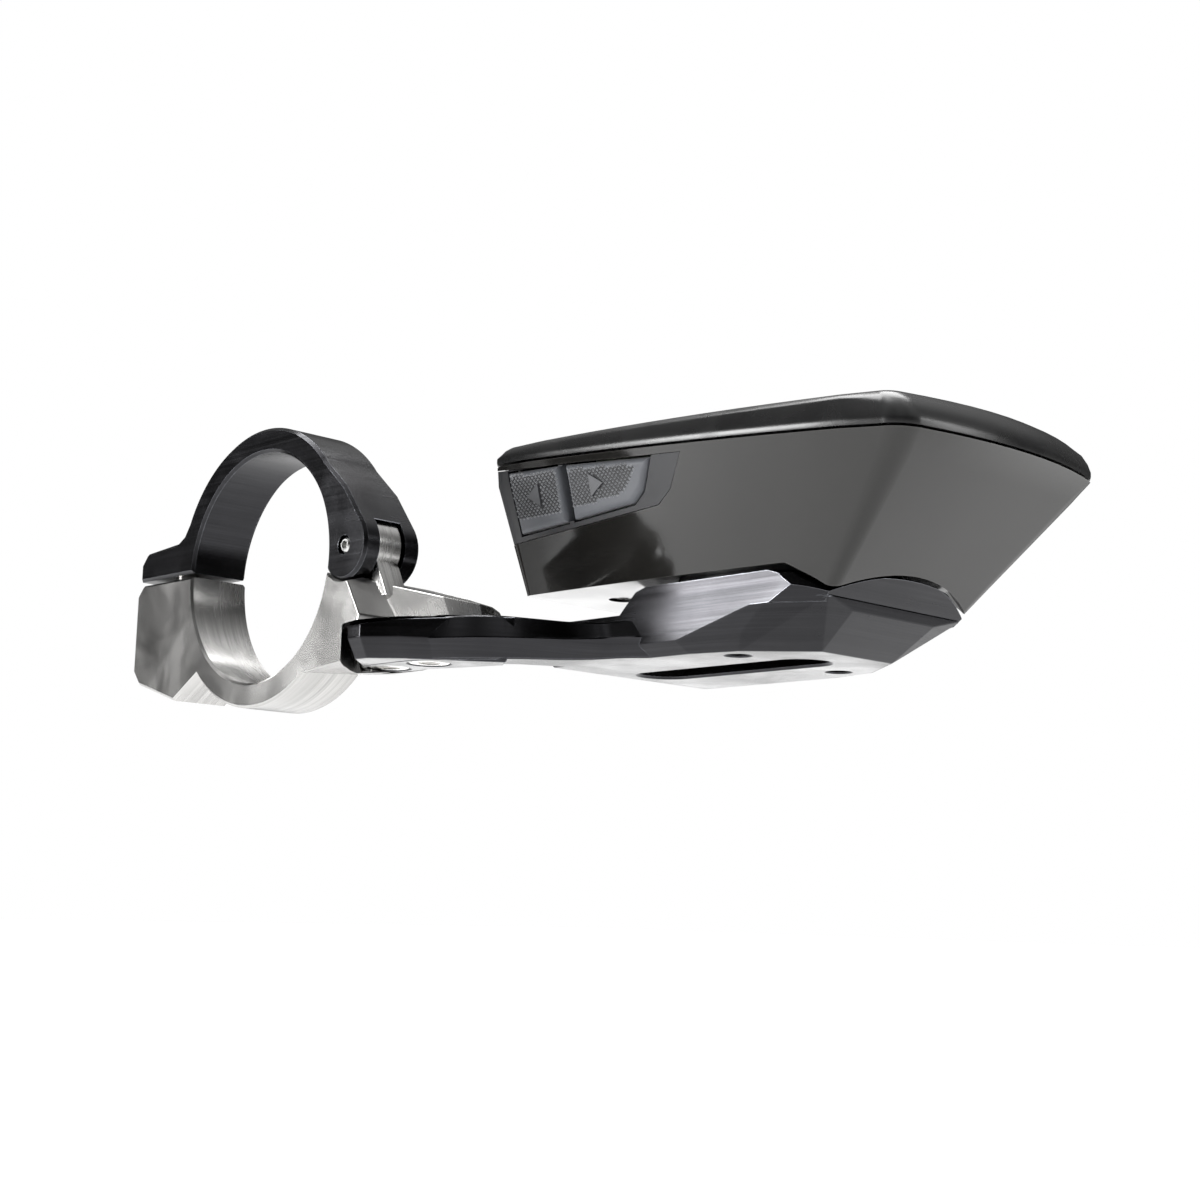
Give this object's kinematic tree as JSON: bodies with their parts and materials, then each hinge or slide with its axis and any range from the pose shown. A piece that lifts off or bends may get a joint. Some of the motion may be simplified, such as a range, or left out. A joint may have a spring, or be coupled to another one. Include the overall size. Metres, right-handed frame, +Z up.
{
  "type": "cycling computer",
  "caption": "Cycling computer with keyed casing and screen, twist-locked on an out-front handlebar mount with a hinged clamp.",
  "frame": {"origin": "centre of the handlebar clamp's bore, at the middle of its width", "axes": "+X forward, the way the bicycle travels; +Y to the rider's left, along the handlebar; +Z up, along the computer's twist axis"},
  "size_m": [0.1228, 0.07, 0.0386],
  "materials": {
    "casing_gloss": "moulded dark grey plastic with a soft gloss",
    "cover_satin": "moulded near-black plastic, satin",
    "lens_glass": "smoked clear screen window, polished",
    "display": "reflective liquid-crystal display, grey-green",
    "diffuser": "milky light guide",
    "seal_rubber": "soft black silicone",
    "key_rubber": "grey rubber with a raised dot texture",
    "board": "green solder mask",
    "battery_foil": "laminated foil pouch",
    "ceramic": "sintered ceramic",
    "inner_polymer": "plain black moulding",
    "bayonet_polymer": "glass-filled black polymer",
    "black_anodised": "machined, brushed and black anodised",
    "clear_anodised": "machined and clear anodised, satin bright",
    "steel": "bright drawn steel",
    "screw_steel": "passivated steel"
  },
  "bodies": {
    "mount": {"mount_arm": "black_anodised", "clamp_base": "clear_anodised", "arm_screw_1": "screw_steel", "arm_screw_2": "screw_steel", "hinge_pin": "steel", "bayonet_insert": "bayonet_polymer", "insert_screw_left": "screw_steel", "insert_screw_right": "screw_steel"},
    "computer": {"lower_casing": "casing_gloss", "top_cover": "cover_satin", "screen_lens": "lens_glass", "display_panel": "display", "light_pipe": "diffuser", "cover_seal": "seal_rubber", "circuit_board": "board", "battery_cell": "battery_foil", "antenna_patch": "ceramic", "buzzer": "inner_polymer", "key_switch_left": "steel", "key_switch_centre": "steel", "key_switch_right": "steel", "usb_socket": "steel", "casing_screw_1": "screw_steel", "casing_screw_2": "screw_steel", "side_key_panel": "key_rubber", "bayonet_plate": "bayonet_polymer", "bayonet_screw_1": "screw_steel", "bayonet_screw_2": "screw_steel"},
    "band": {"clamp_band": "black_anodised"},
    "bolt": {"clamp_bolt": "screw_steel"},
    "flap": {"usb_flap": "seal_rubber"},
    "side_key_rear": {"side_key_rear": "key_rubber"},
    "side_key_front": {"side_key_front": "key_rubber"},
    "power_key": {"power_key": "key_rubber"},
    "top_key_left": {"top_key_left": "key_rubber"},
    "top_key_centre": {"top_key_centre": "key_rubber"},
    "top_key_right": {"top_key_right": "key_rubber"}
  },
  "joints": [
    {"name": "computer_twist", "type": "hinge", "parent": "mount", "child": "computer", "pos_m": [0.0555, 0.042, 0], "axis": [0, 0, 1], "range_deg": [0, 90]},
    {"name": "band_open", "type": "hinge", "parent": "mount", "child": "band", "pos_m": [0.0194, 0, 0.0008], "axis": [0, 1, 0], "range_deg": [0, 70]},
    {"name": "bolt_undo", "type": "slide", "parent": "mount", "child": "bolt", "axis": [0, 0, -1], "range_m": [0, 0.007]},
    {"name": "flap_open", "type": "hinge", "parent": "computer", "child": "flap", "pos_m": [0.02205, 0.042, 0.00216], "axis": [0, -1, 0], "range_deg": [0, 100]},
    {"name": "side_key_rear_press", "type": "slide", "parent": "computer", "child": "side_key_rear", "axis": [0, 0.9659, 0.2588], "range_m": [0, 0.0007], "stiffness_N_per_m": 400},
    {"name": "side_key_front_press", "type": "slide", "parent": "computer", "child": "side_key_front", "axis": [0, 0.9659, 0.2588], "range_m": [0, 0.0007], "stiffness_N_per_m": 400},
    {"name": "power_key_press", "type": "slide", "parent": "computer", "child": "power_key", "axis": [0, -0.9659, 0.2588], "range_m": [0, 0.0006], "stiffness_N_per_m": 400},
    {"name": "top_key_left_press", "type": "slide", "parent": "computer", "child": "top_key_left", "axis": [0, 0, -1], "range_m": [0, 0.0006], "stiffness_N_per_m": 400},
    {"name": "top_key_centre_press", "type": "slide", "parent": "computer", "child": "top_key_centre", "axis": [0, 0, -1], "range_m": [0, 0.0006], "stiffness_N_per_m": 400},
    {"name": "top_key_right_press", "type": "slide", "parent": "computer", "child": "top_key_right", "axis": [0, 0, -1], "range_m": [0, 0.0006], "stiffness_N_per_m": 400}
  ]
}
